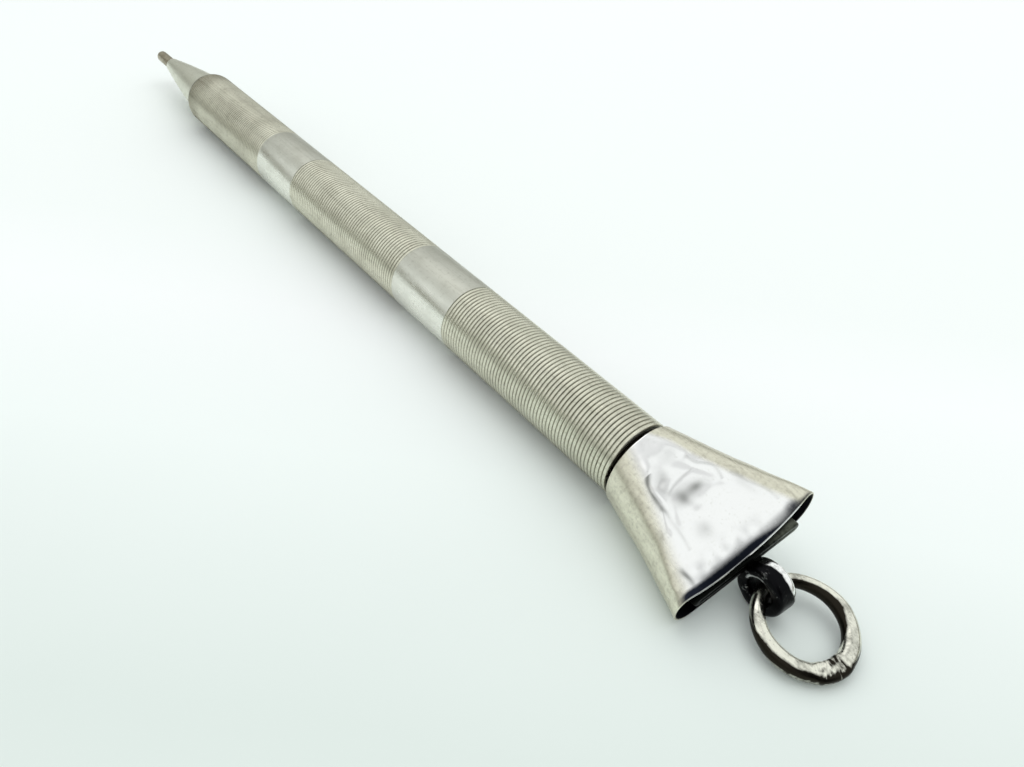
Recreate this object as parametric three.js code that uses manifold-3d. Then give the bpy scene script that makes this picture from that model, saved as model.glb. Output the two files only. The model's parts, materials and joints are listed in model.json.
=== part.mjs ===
// A silver propelling pencil with a flared, flattened finial, an end eye and a suspension ring.
// Millimetres, +Z up. The pencil lies on the plane z = 0 along X, with its point towards -X.
import * as THREE from "three";
import { mergeVertices } from "three/addons/utils/BufferGeometryUtils.js";
import Module from "manifold-3d";

const wasm = await Module();
wasm.setup();

// Fits, as radial or face clearances.
const seatGap = 0.05; // a piece soldered or pressed into its seat
const runGap = 0.08; // a piece that turns or slides in another
const edgeGap = 0.3; // a piece let into a slot that its neighbour fills

// The silver barrel: three engine turned bands of ribs with two plain bands between them.
const barrelDiameter = 7.5;
const barrelWall = 0.5;
const ribPitch = 0.425;
const ribsPerBand = 56;
const bandCount = 3;
const ribDepth = 0.12;
const plainBandLength = 9.3;
const barrelEdgeRound = 0.4;

// The nose and the nozzle that guides the lead.
const noseBaseDiameter = 6.4;
const noseConeLength = 15.8;
const noseTipDiameter = 2.2;
const noseWall = 0.4;
const noseBulge = 0.12;
const nozzleDiameter = 1.7;
const nozzleOutside = 4.8;
const nozzleInside = 3.8;
const linerLength = 13.4;
const linerSpigot = 6;
const guideTubeDiameter = 3;
const guideTubeBore = 2.3;

// The lead and what pushes it.
const leadDiameter = 1.18;
const leadSetback = 0.8;
const leadGripDepth = 3;
const cupRodSocket = 1.2;
const cupWeb = 0.6;
const cupEndGap = 0.7;
const rodDiameter = 1.2;

// The spiral drive: a lug on the carrier runs in a straight slot and in a helical one.
const spiralPitch = 6;
const spiralTurns = 4;
const spiralWall = 0.7;
const spiralEndBand = 2.4;
const slotWidth = 0.95;
const slotRunOut = 0.5;
const driveTubeWall = 0.45;
const driveTubeFrontGap = 0.5;
const carrierLength = 3.4;
const carrierRodSocket = 1;
const lugDiameter = 0.72;
const lugInset = 0.8;
const lugSetback = 0.1;
const frontGuideLength = 4.6;
const frontGuideSocket = 3;

// The rear bearing and what holds the finial's stem in it.
const bushLength = 6.6;
const bushSetback = 0.4;
const bushWall = 0.72;
const washerThickness = 0.12;
const washerDish = 0.16;
const collarLength = 3;
const collarWall = 0.6;
const stemSpigotLength = 3.5;
const drivePinDiameter = 0.8;

// The flared finial, flattened from a round rim to a wide mouth.
const finialGap = 0.45;
const finialLength = 11.2;
const finialRimWidth = 8;
const finialRimThickness = 7.5;
const finialWall = 0.42;
const mouthWidth = 15.3;
const mouthThickness = 3.6;
const flareEvenShare = 0.86; // the rest of the widening comes near the mouth
const lipTurn = 0.35;
const lipTurnLength = 1.1;
const upperLipPress = 0.75;
const lowerLipPress = 0.3;
const lipPressLength = 4;
const lipPressHalfWidth = 6.6;
const lipBow = 0.45;
const lipSkew = 0.4;
const finialPlugInset = 0.3;
const finialPlugLength = 1.5;

// The closing plate in the mouth, which sits a little askew, low and to one side.
const plateWidth = 10.8;
const plateThickness = 1.1;
const plateLength = 3.3;
const plateProud = 0.8;
const plateAside = 0.3;
const plateDrop = 0.25;
const plateBevel = 0.2;
const plateSkew = THREE.MathUtils.degToRad(4.5);

// The eye on the plate, and the ring that swings in it.
const eyeDiameter = 4.3;
const eyeBore = 2.2;
const eyeLength = 1.9;
const eyeEdgeRound = 0.35;
const eyeReach = 2.5;
const eyeDrop = 1.6;
const eyeTilt = THREE.MathUtils.degToRad(14);
const ringWire = 1.16;
const ringDiameter = 8.16;
const ringPadWidth = 1.6;
const ringPadThickness = 0.9;
const ringPadAngle = THREE.MathUtils.degToRad(-20);
const ringPadSpan = THREE.MathUtils.degToRad(56);
const ringSag = 0.26; // the wire's drop below the middle of the eye's bore
const ringSlip = 0.55; // how far the ring has slipped along its wire's line in the eye

// Facets round a turned piece and round the finer ones, and steps along the curved forms.
const turnedFacets = 14;
const smallFacets = 10;
const barrelEdgeSteps = 2;
const noseSteps = 6;
const finialSteps = 9;
const finialArcSteps = 9;
const plateArcSteps = 6;
const eyeEdgeSteps = 3;
const ringSteps = 32;
const cutterOvershoot = 0.5;
const mergeDistance = 1e-4;

// Places along the axis, with x = 0 at the barrel's rear end.
const barrelRadius = barrelDiameter / 2;
const boreRadius = barrelRadius - barrelWall;
const fittedRadius = boreRadius - seatGap;
const ribBandLength = ribsPerBand * ribPitch;
const barrelLength = bandCount * ribBandLength + (bandCount - 1) * plainBandLength;
const barrelFront = -barrelLength;
const noseBack = barrelFront - seatGap;
const noseEnd = noseBack - noseConeLength;
const nozzleEnd = noseEnd - nozzleOutside;
const nozzleBack = noseEnd + nozzleInside;
const travel = spiralPitch * spiralTurns;
const cupFront = nozzleBack + cupEndGap + travel;
const leadFront = nozzleEnd + leadSetback;
const leadBack = cupFront + leadGripDepth;
const cupBack = leadBack + cupWeb + cupRodSocket;

const driveTubeRadius = fittedRadius - bushWall - runGap;
const driveTubeBore = driveTubeRadius - driveTubeWall;
const bushBack = -bushSetback;
const bushFront = bushBack - bushLength;
const washerBack = bushFront - seatGap;
const washerFront = washerBack - washerThickness - washerDish;
const collarBack = washerFront - seatGap;
const collarFront = collarBack - collarLength;
const spigotFront = bushFront - stemSpigotLength;
const drivePinPlace = (Math.min(bushFront, collarBack) + Math.max(spigotFront, collarFront)) / 2;
const spiralBack = collarFront - edgeGap;
const lugPlace = spiralBack - spiralEndBand - slotRunOut - slotWidth / 2;
const spiralFront = lugPlace - travel - slotWidth / 2 - slotRunOut - spiralEndBand;
const driveTubeFront = spiralFront + driveTubeFrontGap;
const frontGuideBack = spiralFront - seatGap;
const frontGuideFront = frontGuideBack - frontGuideLength;
const guideTubeBack = frontGuideFront + frontGuideSocket - seatGap;
const linerBack = barrelFront + linerSpigot;
const linerFront = linerBack - linerLength;
const guideTubeFront = linerFront + seatGap;
const carrierBack = lugPlace + carrierLength / 2;
const carrierFront = carrierBack - carrierLength;
const rodBack = carrierFront + carrierRodSocket - seatGap;
const rodFront = cupBack - cupRodSocket + seatGap;
const finialRim = finialGap;
const finialMouth = finialRim + finialLength;
const plateCentre = finialMouth + plateProud - plateLength / 2;

// The eye's middle, seen from the middle of the closing plate.
const eyePlace = new THREE.Vector3(finialMouth + eyeReach - plateCentre, 0, -eyeDrop);

// Turns a closed outline of [radius, place] points about the X axis, with a facet underneath.
// Points run forwards in place along the outside, and back along the bore.
function turned(outline, facets = turnedFacets) {
  const points = outline.map(([radius, place]) => new THREE.Vector2(radius, place));
  if (outline[0][0] > 0) {
    points.push(points[0].clone());
  }
  const geometry = new THREE.LatheGeometry(points, facets, Math.PI / facets);
  geometry.rotateZ(-Math.PI / 2);
  return geometry;
}

// A plain turned tube or bush.
function tube(outer, bore, from, to, facets = turnedFacets) {
  return turned([[outer, from], [outer, to], [bore, to], [bore, from]], facets);
}

// A plain solid round bar along the axis.
function bar(radius, from, to, facets = smallFacets) {
  return turned([[0, from], [radius, from], [radius, to], [0, to]], facets);
}

// Removes what only shading needs, so that shared corners become one.
function positionsOnly(geometry) {
  const bare = geometry.clone();
  for (const name of Object.keys(bare.attributes)) {
    if (name !== "position") {
      bare.deleteAttribute(name);
    }
  }
  return mergeVertices(bare, mergeDistance);
}

function solidOf(geometry) {
  const merged = positionsOnly(geometry);
  const mesh = new wasm.Mesh({
    numProp: 3,
    vertProperties: new Float32Array(merged.attributes.position.array),
    triVerts: new Uint32Array(merged.index.array),
  });
  return new wasm.Manifold(mesh);
}

function geometryOf(solid) {
  const mesh = solid.getMesh();
  const geometry = new THREE.BufferGeometry();
  const corners = new Float32Array(mesh.numVert * 3);
  for (let i = 0; i < mesh.numVert; i++) {
    corners.set(mesh.vertProperties.subarray(i * mesh.numProp, i * mesh.numProp + 3), 3 * i);
  }
  geometry.setAttribute("position", new THREE.BufferAttribute(corners, 3));
  geometry.setIndex(new THREE.BufferAttribute(new Uint32Array(mesh.triVerts), 1));
  return geometry;
}

// A geometry with the given cutters taken out of it.
function cutBy(geometry, cutters) {
  const left = cutters.reduce((solid, cutter) => solid.subtract(solidOf(cutter)), solidOf(geometry));
  return geometryOf(left);
}

// Joins rows of points, each a closed loop of the same count, into one closed surface. Each loop
// runs clockwise as seen from the next row. With closed set, the last row meets the first, and
// otherwise a fan fills each end.
function lofted(rows, closed) {
  const count = rows[0].length;
  const corners = rows.flat().flatMap((p) => [p.x, p.y, p.z]);
  const faces = [];
  const spans = closed ? rows.length : rows.length - 1;
  for (let i = 0; i < spans; i++) {
    const here = i * count;
    const next = ((i + 1) % rows.length) * count;
    for (let j = 0; j < count; j++) {
      const k = (j + 1) % count;
      faces.push(here + j, next + k, here + k);
      faces.push(here + j, next + j, next + k);
    }
  }
  if (!closed) {
    const last = (rows.length - 1) * count;
    for (let j = 1; j < count - 1; j++) {
      faces.push(0, j, j + 1);
      faces.push(last, last + j + 1, last + j);
    }
  }
  const geometry = new THREE.BufferGeometry();
  geometry.setAttribute("position", new THREE.Float32BufferAttribute(corners, 3));
  geometry.setIndex(faces);
  return geometry;
}

// The outer half width and half thickness of the finial at a place along it. Its section is a
// straight sided oval, round at the rim and wide and flat at the mouth.
function finialHalves(place) {
  const share = THREE.MathUtils.clamp((place - finialRim) / finialLength, 0, 1);
  const flare = flareEvenShare * share + (1 - flareEvenShare) * share ** 3;
  const turnShare = Math.max(0, (place - finialMouth + lipTurnLength) / lipTurnLength);
  const full = THREE.MathUtils.lerp(finialRimThickness, mouthThickness + 2 * lipTurn, share) / 2;
  return {
    width: THREE.MathUtils.lerp(finialRimWidth, mouthWidth, flare) / 2,
    thickness: full - lipTurn * turnShare ** 2,
  };
}

// A straight sided oval across the X axis, as a loop of points.
function ovalLoop(place, halfWidth, halfThickness, arcSteps) {
  const flat = halfWidth - halfThickness;
  const loop = [];
  for (const side of [1, -1]) {
    for (let i = 0; i <= arcSteps; i++) {
      const angle = side * (-Math.PI / 2) + (i / arcSteps) * Math.PI;
      loop.push(
        new THREE.Vector3(
          place,
          side * flat + halfThickness * Math.cos(angle),
          halfThickness * Math.sin(angle),
        ),
      );
    }
  }
  return loop;
}

// The pencil lies on the finial's rim and on one folded corner of its mouth, so the finial is
// rolled until the lowest points of both are level.
const rimHalves = finialHalves(finialRim);
const foldHalves = finialHalves(finialMouth - lipTurnLength);
const rimFlat = rimHalves.width - rimHalves.thickness;
const foldFlat = foldHalves.width - foldHalves.thickness;
const lieAngle = Math.asin((rimHalves.thickness - foldHalves.thickness) / (foldFlat - rimFlat));
const lieHeight = rimHalves.thickness + rimFlat * Math.sin(lieAngle);

const silver = { color: 0xc9c7bf, metalness: 1, roughness: 0.28 };
const wornSilver = { color: 0xa9a79c, metalness: 1, roughness: 0.36 };
const brass = { color: 0xb39a5e, metalness: 1, roughness: 0.4 };
const steel = { color: 0x8d8f92, metalness: 1, roughness: 0.35 };
const graphite = { color: 0x2f3033, metalness: 0.2, roughness: 0.6 };

function named(name, geometry, finish) {
  const mesh = new THREE.Mesh(positionsOnly(geometry), new THREE.MeshStandardMaterial(finish));
  mesh.name = name;
  return mesh;
}

// The barrel tube: a rounded front edge, and three bands of ribs as crests and grooves, with the
// tube left plain between them.
function makeBarrel() {
  const outline = [[boreRadius, barrelFront]];
  for (let i = 0; i <= barrelEdgeSteps; i++) {
    const angle = (i / barrelEdgeSteps) * (Math.PI / 2);
    outline.push([
      barrelRadius - barrelEdgeRound * (1 - Math.sin(angle)),
      barrelFront + barrelEdgeRound * (1 - Math.cos(angle)),
    ]);
  }
  for (let band = 0; band < bandCount; band++) {
    const start = barrelFront + band * (ribBandLength + plainBandLength);
    for (let rib = 0; rib < ribsPerBand; rib++) {
      const groove = start + rib * ribPitch;
      if (groove > barrelFront + barrelEdgeRound) {
        outline.push([barrelRadius - ribDepth, groove]);
        outline.push([barrelRadius, groove + ribPitch / 2]);
      }
    }
    if (band < bandCount - 1) {
      outline.push([barrelRadius - ribDepth, start + ribBandLength]);
      outline.push([barrelRadius, start + ribBandLength + ribPitch / 2]);
      outline.push([barrelRadius, start + ribBandLength + plainBandLength - ribPitch / 2]);
    }
  }
  outline.push([barrelRadius - ribDepth, 0], [boreRadius, 0]);
  return named("barrel", turned(outline), silver);
}

// The nose cone's outer radius at a place along it, with a slight swell at its middle.
function noseRadius(place) {
  const share = (noseBack - place) / noseConeLength;
  const straight = THREE.MathUtils.lerp(noseBaseDiameter, noseTipDiameter, share) / 2;
  return straight + noseBulge * Math.sin(Math.PI * share);
}

function makeNoseCone() {
  const seat = nozzleDiameter / 2 + seatGap;
  const outside = [];
  const inside = [];
  for (let i = 0; i <= noseSteps; i++) {
    const place = noseEnd + (i / noseSteps) * noseConeLength;
    outside.push([noseRadius(place), place]);
    inside.unshift([Math.max(seat, noseRadius(place) - noseWall), place]);
  }
  return named("nose_cone", turned([...outside, ...inside]), silver);
}

// The liner that carries the nose cone: a spigot in the barrel and a taper inside the cone.
function makeNoseLiner() {
  const bore = guideTubeDiameter / 2 + seatGap;
  const taperBack = noseBack - seatGap;
  const outline = [
    [bore, linerFront],
    [noseRadius(linerFront) - noseWall - seatGap, linerFront],
    [noseRadius(taperBack) - noseWall - seatGap, taperBack],
    [noseRadius(taperBack) - noseWall - seatGap, barrelFront],
    [fittedRadius, barrelFront],
    [fittedRadius, linerBack],
    [bore, linerBack],
  ];
  return named("nose_liner", turned(outline), brass);
}

function makeNozzle() {
  const outer = nozzleDiameter / 2;
  const bore = leadDiameter / 2 + runGap;
  const bevel = (outer - bore) / 2;
  const outline = [
    [bore, nozzleEnd],
    [outer - bevel, nozzleEnd],
    [outer, nozzleEnd + bevel],
    [outer, nozzleBack],
    [bore, nozzleBack],
  ];
  return named("nozzle_tube", turned(outline, smallFacets), brass);
}

function makeGuideTube() {
  const tubeSolid = tube(guideTubeDiameter / 2, guideTubeBore / 2, guideTubeFront, guideTubeBack);
  return named("guide_tube", tubeSolid, brass);
}

// The front guide centres the push rod and holds the guide tube's rear end.
function makeFrontGuide() {
  const socket = guideTubeDiameter / 2 + seatGap;
  const bore = rodDiameter / 2 + runGap;
  const socketBack = frontGuideFront + frontGuideSocket;
  const outline = [
    [socket, frontGuideFront],
    [fittedRadius, frontGuideFront],
    [fittedRadius, frontGuideBack],
    [bore, frontGuideBack],
    [bore, socketBack],
    [socket, socketBack],
  ];
  return named("front_guide", turned(outline), brass);
}

// A bar of the slot's section that follows the helix. The lug starts straight up and turns with
// the finial, so the helix runs forwards as the angle about +X grows.
function helixCutter() {
  const slope = Math.atan(spiralPitch / (2 * Math.PI * (fittedRadius - spiralWall / 2)));
  const halfSlot = slotWidth / 2 / Math.cos(slope);
  const inner = fittedRadius - spiralWall - cutterOvershoot;
  const outer = fittedRadius + cutterOvershoot;
  const runOutTurns = slotRunOut / spiralPitch;
  const first = -runOutTurns;
  const last = spiralTurns + runOutTurns;
  const steps = Math.ceil((last - first) * turnedFacets);
  const rows = [];
  for (let i = 0; i <= steps; i++) {
    const turns = first + ((last - first) * i) / steps;
    const angle = turns * 2 * Math.PI;
    const place = lugPlace - turns * spiralPitch;
    const section = [
      [inner, -halfSlot],
      [outer, -halfSlot],
      [outer, halfSlot],
      [inner, halfSlot],
    ];
    rows.push(
      section.map(
        ([radius, along]) =>
          new THREE.Vector3(place + along, -radius * Math.sin(angle), radius * Math.cos(angle)),
      ),
    );
  }
  return lofted(rows, false);
}

function makeSpiralTube() {
  const blank = tube(fittedRadius, fittedRadius - spiralWall, spiralFront, spiralBack);
  return named("spiral_tube", cutBy(blank, [helixCutter()]), brass);
}

function makeRearBush() {
  const bore = driveTubeRadius + runGap;
  return named("rear_bush", tube(fittedRadius, bore, bushFront, bushBack), brass);
}

// A box with its faces square to the axes, between two corners.
function block(low, high) {
  const size = high.map((value, i) => value - low[i]);
  const box = new THREE.BoxGeometry(...size);
  box.translate(...high.map((value, i) => (value + low[i]) / 2));
  return box;
}

// A round bar along Z, between two heights.
function upright(radius, low, high) {
  const shape = new THREE.CylinderGeometry(radius, radius, high - low, smallFacets);
  shape.rotateX(Math.PI / 2);
  shape.translate(0, 0, (high + low) / 2);
  return shape;
}

// A hole right across the axis for the drive pin.
function drivePinHole() {
  const hole = upright(drivePinDiameter / 2 + seatGap, -barrelRadius, barrelRadius);
  hole.translate(drivePinPlace, 0, 0);
  return hole;
}

// The drive tube: the finial turns it, and its straight slot carries the lug round.
function makeDriveTube() {
  const blank = tube(driveTubeRadius, driveTubeBore, driveTubeFront, bushFront - seatGap);
  const slot = block(
    [lugPlace - travel - slotWidth / 2 - slotRunOut, -slotWidth / 2, 0],
    [lugPlace + slotWidth / 2 + slotRunOut, slotWidth / 2, barrelRadius],
  );
  return named("drive_tube", cutBy(blank, [slot, drivePinHole()]), brass);
}

function makeCollar() {
  const bore = driveTubeRadius + seatGap;
  const blank = tube(bore + collarWall, bore, collarFront, collarBack);
  return named("retaining_collar", cutBy(blank, [drivePinHole()]), brass);
}

function makeDrivePin() {
  const reach = driveTubeRadius + seatGap + collarWall;
  const pin = upright(drivePinDiameter / 2, -reach, reach);
  pin.translate(drivePinPlace, 0, 0);
  return named("drive_pin", pin, steel);
}

// A dished washer, which keeps the finial from turning by itself.
function makeWasher() {
  const bore = driveTubeRadius + seatGap;
  const outer = bore + collarWall;
  const outline = [
    [bore, washerFront],
    [outer, washerFront + washerDish],
    [outer, washerBack],
    [bore, washerBack - washerDish],
  ];
  return named("friction_washer", turned(outline), steel);
}

// The finial's plug and stem: a tapered disc inside the rim, a journal and a spigot.
function makeFinialPlug() {
  const plugFront = finialRim + finialPlugInset;
  const plugBack = plugFront + finialPlugLength;
  const spigot = driveTubeBore - seatGap;
  const shoulder = bushFront;
  const outline = [
    [0, spigotFront],
    [spigot, spigotFront],
    [spigot, shoulder],
    [driveTubeRadius, shoulder],
    [driveTubeRadius, plugFront],
    [finialHalves(plugFront).thickness - finialWall - runGap, plugFront],
    [finialHalves(plugBack).thickness - finialWall - runGap, plugBack],
    [0, plugBack],
  ];
  return named("finial_plug", cutBy(turned(outline), [drivePinHole()]), brass);
}

// A point of the finial's shell after its mouth was pressed: the upper lip is pushed down in the
// middle and the lower one up, and the edge bows outwards, further at one side than the other.
function pressed(point) {
  const start = finialMouth - lipPressLength;
  const near = THREE.MathUtils.clamp((point.x - start) / lipPressLength, 0, 1) ** 2;
  const across = point.y / (mouthWidth / 2);
  const middle = Math.max(0, 1 - (point.y / lipPressHalfWidth) ** 4);
  const press = point.z > 0 ? -upperLipPress : lowerLipPress;
  const reach = lipBow * (1 - across ** 2) + (lipSkew * (1 + across)) / 2;
  return new THREE.Vector3(point.x + reach * near, point.y, point.z + press * middle * near);
}

// The finial's shell, lofted from the round rim to the mouth, open at both ends.
function makeFinialShell() {
  const places = [];
  for (let i = 0; i <= finialSteps; i++) {
    places.push(finialRim + (i / finialSteps) * (finialLength - lipTurnLength));
  }
  places.push(finialMouth - lipTurnLength / 2, finialMouth);
  const loopsAt = (inset) =>
    places.map((place) => {
      const half = finialHalves(place);
      const loop = ovalLoop(place, half.width - inset, half.thickness - inset, finialArcSteps);
      return loop.map(pressed);
    });
  const rows = [...loopsAt(0).reverse(), ...loopsAt(finialWall)];
  return named("finial_shell", lofted(rows, true), silver);
}

// The closing plate: a flat plug with round ends, slotted for the eye.
function makeEndPlate() {
  const half = plateThickness / 2;
  const flat = plateWidth / 2 - half;
  const outline = new THREE.Shape();
  outline.absarc(flat, 0, half - plateBevel, -Math.PI / 2, Math.PI / 2);
  outline.absarc(-flat, 0, half - plateBevel, Math.PI / 2, (3 * Math.PI) / 2);
  outline.closePath();
  const plate = new THREE.ExtrudeGeometry(outline, {
    depth: plateLength - 2 * plateBevel,
    bevelSize: plateBevel,
    bevelThickness: plateBevel,
    bevelSegments: 1,
    curveSegments: plateArcSteps,
  });
  plate.rotateX(Math.PI / 2);
  plate.rotateZ(Math.PI / 2);
  plate.translate(plateBevel - plateLength / 2, -plateAside, -plateDrop);
  const notch = new THREE.CylinderGeometry(
    eyeDiameter / 2 + edgeGap,
    eyeDiameter / 2 + edgeGap,
    eyeLength + 2 * edgeGap,
    turnedFacets,
  );
  notch.rotateX(-eyeTilt);
  notch.translate(eyePlace.x, eyePlace.y, eyePlace.z);
  return named("end_plate", cutBy(plate, [notch]), wornSilver);
}

// The eye: a short thick tube with rounded edges, its bore across the pencil.
function makeEye() {
  const corners = [
    [eyeDiameter / 2, -1],
    [eyeDiameter / 2, 1],
    [eyeBore / 2, 1],
    [eyeBore / 2, -1],
  ];
  const points = [];
  corners.forEach(([radius, side], corner) => {
    const inward = corner < 2 ? -1 : 1;
    for (let i = 0; i <= eyeEdgeSteps; i++) {
      const angle = ((corner - 1 + i / eyeEdgeSteps) * Math.PI) / 2;
      points.push(
        new THREE.Vector2(
          radius + eyeEdgeRound * (inward + Math.cos(angle)),
          side * (eyeLength / 2 - eyeEdgeRound) + eyeEdgeRound * Math.sin(angle),
        ),
      );
    }
  });
  points.push(points[0].clone());
  return named("eye", new THREE.LatheGeometry(points, turnedFacets), wornSilver);
}

// The suspension ring: round wire, flattened along a bare pad opposite the eye. It lies in its
// own XY plane, with the eye at the origin and its middle on +X.
function makeRing() {
  const wire = ringWire / 2;
  const middle = ringDiameter / 2 - wire;
  const rows = [];
  for (let i = 0; i < ringSteps; i++) {
    const angle = (i / ringSteps) * 2 * Math.PI;
    const offset = Math.acos(Math.cos(angle - ringPadAngle));
    const flattened = 1 - THREE.MathUtils.smoothstep(offset, ringPadSpan / 4, ringPadSpan / 2);
    const across = THREE.MathUtils.lerp(wire, ringPadWidth / 2, flattened);
    const deep = THREE.MathUtils.lerp(wire, ringPadThickness / 2, flattened);
    const row = [];
    for (let j = 0; j < smallFacets; j++) {
      const turn = (j / smallFacets) * 2 * Math.PI;
      const radius = middle + across * Math.cos(turn);
      row.push(
        new THREE.Vector3(
          middle + radius * Math.cos(angle),
          radius * Math.sin(angle),
          deep * Math.sin(turn),
        ),
      );
    }
    rows.push(row);
  }
  return named("suspension_ring", lofted(rows, true), wornSilver);
}

// The carrier slides in the drive tube. It holds the push rod at its front and the lug across it.
function makeCarrier() {
  const radius = driveTubeBore - runGap;
  const socket = rodDiameter / 2 + seatGap;
  const socketBack = carrierFront + carrierRodSocket;
  const blank = turned([
    [0, socketBack],
    [socket, socketBack],
    [socket, carrierFront],
    [radius, carrierFront],
    [radius, carrierBack],
    [0, carrierBack],
  ]);
  const lugHole = upright(lugDiameter / 2 + seatGap, lugInset - seatGap, barrelRadius);
  lugHole.translate(lugPlace, 0, 0);
  return named("carrier", cutBy(blank, [lugHole]), brass);
}

function makeLug() {
  const lug = upright(lugDiameter / 2, lugInset, fittedRadius - lugSetback);
  lug.translate(lugPlace, 0, 0);
  return named("carrier_lug", lug, steel);
}

function makePushRod() {
  return named("push_rod", bar(rodDiameter / 2, rodFront, rodBack), steel);
}

// The cup grips the lead's rear end in front, and the push rod behind.
function makeLeadCup() {
  const radius = guideTubeBore / 2 - runGap;
  const leadSocket = leadDiameter / 2 + seatGap;
  const rodSocket = rodDiameter / 2 + seatGap;
  const outline = [
    [0, leadBack + seatGap],
    [leadSocket, leadBack + seatGap],
    [leadSocket, cupFront],
    [radius, cupFront],
    [radius, cupBack],
    [rodSocket, cupBack],
    [rodSocket, cupBack - cupRodSocket],
    [0, cupBack - cupRodSocket],
  ];
  return named("lead_cup", turned(outline, smallFacets), brass);
}

function makeLead() {
  return named("lead", bar(leadDiameter / 2, leadFront, leadBack), graphite);
}

// Lays the ring in the eye, with its far side on the plane z = 0. With k the height of the wire at
// the eye over the wire at its lowest, as a share of the ring's middle radius, the ring's slope
// follows from k + slope = hypot(axis slope, slope).
function layRing(ring, eye) {
  eye.updateWorldMatrix(true, false);
  const axis = new THREE.Vector3(0, 1, 0).transformDirection(eye.matrixWorld);
  const up = new THREE.Vector3(0, 0, 1).projectOnPlane(axis).normalize();
  const level = new THREE.Vector3().crossVectors(axis, up);
  const wire = ringWire / 2;
  const start = new THREE.Vector3().setFromMatrixPosition(eye.matrixWorld);
  start.addScaledVector(up, -ringSag).addScaledVector(axis, ringSlip);
  const lift = (start.z - wire) / (ringDiameter / 2 - wire);
  const slope = (axis.z ** 2 - lift ** 2) / (2 * lift);
  const pitch = Math.asin(slope / up.z);
  const outward = level.multiplyScalar(Math.cos(pitch)).addScaledVector(up, Math.sin(pitch));
  const normal = new THREE.Vector3().crossVectors(outward, axis);
  const basis = new THREE.Matrix4().makeBasis(outward, axis, normal);
  ring.quaternion.setFromRotationMatrix(basis);
  ring.position.copy(start);
}

const barrelPieces = new THREE.Group();
barrelPieces.add(
  makeBarrel(),
  makeRearBush(),
  makeSpiralTube(),
  makeFrontGuide(),
  makeGuideTube(),
  makeNoseLiner(),
  makeNoseCone(),
  makeNozzle(),
);

const carrierPieces = new THREE.Group();
carrierPieces.add(makeCarrier(), makeLug(), makePushRod(), makeLeadCup(), makeLead());

const turningPieces = new THREE.Group();
turningPieces.add(makeFinialPlug(), makeDriveTube(), makeCollar(), makeWasher(), makeDrivePin());

const eye = makeEye();
eye.position.copy(eyePlace);
eye.rotation.x = -eyeTilt;

const endFitting = new THREE.Group();
endFitting.position.x = plateCentre;
endFitting.rotation.z = -plateSkew;
endFitting.add(makeEndPlate(), eye);

const finial = new THREE.Group();
finial.rotation.x = lieAngle;
finial.add(makeFinialShell(), endFitting);

const pencil = new THREE.Group();
pencil.position.z = lieHeight;
pencil.add(barrelPieces, carrierPieces, turningPieces, finial);

const ring = makeRing();
layRing(ring, eye);

// The origin is under the middle of the whole pencil, on the plane that it lies on.
const laid = new THREE.Group();
laid.add(pencil, ring);
const bounds = new THREE.Box3().setFromObject(laid, true);
const middle = bounds.getCenter(new THREE.Vector3());
laid.position.set(-middle.x, -middle.y, -bounds.min.z);

const model = new THREE.Group();
model.add(laid);
export default model;
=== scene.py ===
import json
import math

import bmesh
import bpy
from mathutils import Matrix, Vector, noise


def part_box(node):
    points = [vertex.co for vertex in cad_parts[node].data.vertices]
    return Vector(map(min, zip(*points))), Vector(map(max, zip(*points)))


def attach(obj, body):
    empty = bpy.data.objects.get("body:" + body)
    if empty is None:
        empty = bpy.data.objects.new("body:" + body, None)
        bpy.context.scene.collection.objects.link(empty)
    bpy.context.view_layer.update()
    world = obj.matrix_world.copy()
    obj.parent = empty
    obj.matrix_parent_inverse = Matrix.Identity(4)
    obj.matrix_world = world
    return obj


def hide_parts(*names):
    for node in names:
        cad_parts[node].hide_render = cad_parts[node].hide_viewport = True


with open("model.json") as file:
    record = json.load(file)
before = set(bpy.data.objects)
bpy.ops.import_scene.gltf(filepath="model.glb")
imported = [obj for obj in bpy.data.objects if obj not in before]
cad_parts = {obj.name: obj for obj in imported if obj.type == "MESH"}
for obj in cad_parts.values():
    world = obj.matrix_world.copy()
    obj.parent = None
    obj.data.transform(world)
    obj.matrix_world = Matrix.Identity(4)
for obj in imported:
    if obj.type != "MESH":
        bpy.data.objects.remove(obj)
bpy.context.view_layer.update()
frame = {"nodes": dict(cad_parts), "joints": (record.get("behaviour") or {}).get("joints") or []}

# The viewpoint. A short lens is held close above the finial's corner and looks back along the
# pencil, so the barrel narrows quickly towards its point. The pencil's axis runs along X through
# the place where the barrel ends, and every piece is set out from there.
mm = 0.001
joints = {joint["name"]: joint for joint in frame["joints"]}
axis_end = Vector(joints["finial_turn"]["pos_m"])
camera_offset = Vector((26.08, -40.85, 44.69)) * mm
camera_direction = Vector((-0.5594, 0.5375, -0.6310))
camera_roll = math.radians(8.3)
camera_focal_share = 762 / 1024


def placed(name, data):
    """A new object in the scene, of a mesh, a camera or a light."""
    thing = bpy.data.objects.new(name, data)
    bpy.context.scene.collection.objects.link(thing)
    return thing


camera_data = bpy.data.cameras.new("photo_camera")
camera_data.sensor_width = 36
camera_data.lens = camera_focal_share * camera_data.sensor_width
camera_data.clip_start = 0.001
camera_data.clip_end = 20
camera = placed("photo_camera", camera_data)
camera.location = axis_end + camera_offset
level_view = camera_direction.to_track_quat("-Z", "Y").to_matrix()
camera.rotation_euler = (level_view @ Matrix.Rotation(camera_roll, 3, "Z")).to_euler()
bpy.context.scene.camera = camera
bpy.context.scene.view_settings.view_transform = "Standard"


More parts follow.
